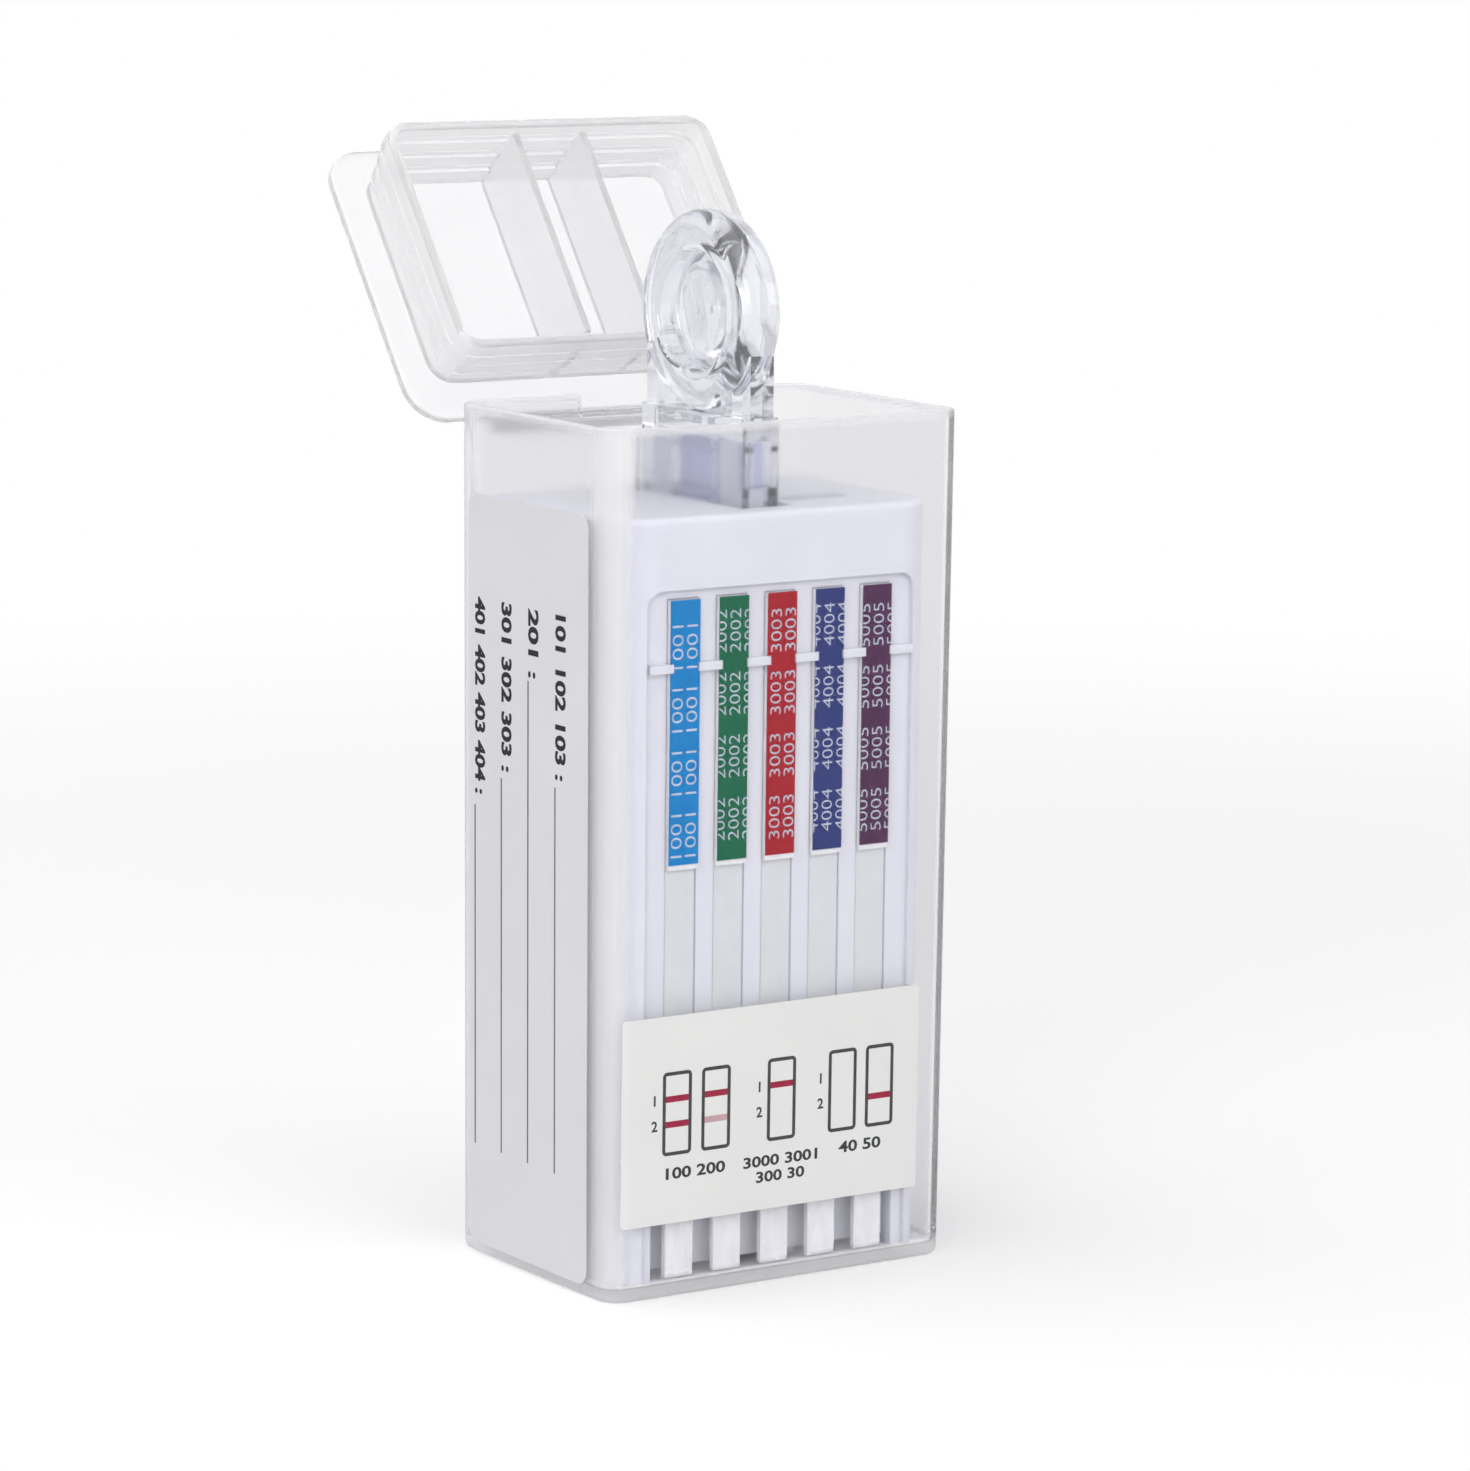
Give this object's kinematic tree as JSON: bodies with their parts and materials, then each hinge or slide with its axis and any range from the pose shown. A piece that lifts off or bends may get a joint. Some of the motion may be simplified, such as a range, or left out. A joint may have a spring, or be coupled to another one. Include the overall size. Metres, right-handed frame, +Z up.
{
  "type": "oral fluid drug test kit",
  "caption": "Clear upright test container with a living-hinged stepped lid, a ring-handled push-down collector with sponge, and a carrier of coloured test strips.",
  "frame": {"origin": "centre of the container's base, on the surface it stands on", "axes": "+Z up, the strips and the key label face -Y, the lid is hinged at the rear, +Y"},
  "size_m": [0.0514, 0.0649, 0.1328],
  "materials": {
    "clear_container": "clear moulded plastic, glossy with a faint blue-grey tint",
    "frosted_lid": "milky translucent moulded plastic, satin",
    "clear_collector": "crystal clear moulded plastic, high gloss",
    "white_carrier": "white moulded plastic with a lavender cast, satin",
    "backing_card": "white plastic card, matt",
    "pad_fibre": "white absorbent fibre",
    "conjugate_fibre": "off-white fibre with a faint pink cast",
    "membrane": "white membrane, matt",
    "sponge": "white open-cell sponge",
    "indicator": "pale blue indicator card",
    "key_label_paper": "off-white printed film label",
    "side_label_paper": "matt silver-white write-on label",
    "tape_blue": "blue printed tape, satin",
    "tape_green": "green printed tape, satin",
    "tape_red": "red printed tape, satin",
    "tape_indigo": "indigo printed tape, satin",
    "tape_purple": "purple printed tape, satin"
  },
  "bodies": {
    "body": {"container": "clear_container", "strip_carrier": "white_carrier", "key_label": "key_label_paper", "side_label": "side_label_paper", "strip_1_backing_card": "backing_card", "strip_1_sample_pad": "pad_fibre", "strip_1_conjugate_pad": "conjugate_fibre", "strip_1_membrane": "membrane", "strip_1_absorbent_pad": "pad_fibre", "strip_1_color_tape": "tape_blue", "strip_2_backing_card": "backing_card", "strip_2_sample_pad": "pad_fibre", "strip_2_conjugate_pad": "conjugate_fibre", "strip_2_membrane": "membrane", "strip_2_absorbent_pad": "pad_fibre", "strip_2_color_tape": "tape_green", "strip_3_backing_card": "backing_card", "strip_3_sample_pad": "pad_fibre", "strip_3_conjugate_pad": "conjugate_fibre", "strip_3_membrane": "membrane", "strip_3_absorbent_pad": "pad_fibre", "strip_3_color_tape": "tape_red", "strip_4_backing_card": "backing_card", "strip_4_sample_pad": "pad_fibre", "strip_4_conjugate_pad": "conjugate_fibre", "strip_4_membrane": "membrane", "strip_4_absorbent_pad": "pad_fibre", "strip_4_color_tape": "tape_indigo", "strip_5_backing_card": "backing_card", "strip_5_sample_pad": "pad_fibre", "strip_5_conjugate_pad": "conjugate_fibre", "strip_5_membrane": "membrane", "strip_5_absorbent_pad": "pad_fibre", "strip_5_color_tape": "tape_purple"},
    "lid": {"lid": "frosted_lid"},
    "collector": {"collector_handle": "clear_collector", "saturation_indicator": "indicator", "collector_sponge": "sponge"}
  },
  "joints": [
    {"name": "lid_hinge", "type": "hinge", "parent": "body", "child": "lid", "pos_m": [0, 0.02095, 0.09905], "axis": [-1, 0, 0], "range_deg": [-126.9, 43.1]},
    {"name": "collector_slide", "type": "slide", "parent": "body", "child": "collector", "axis": [0, 0, 1], "range_m": [-0.0331, 0.0113]}
  ],
  "couplings": [
    {"joint": "collector_slide", "follows": "lid_hinge", "m_per_rad": 0.0149}
  ]
}
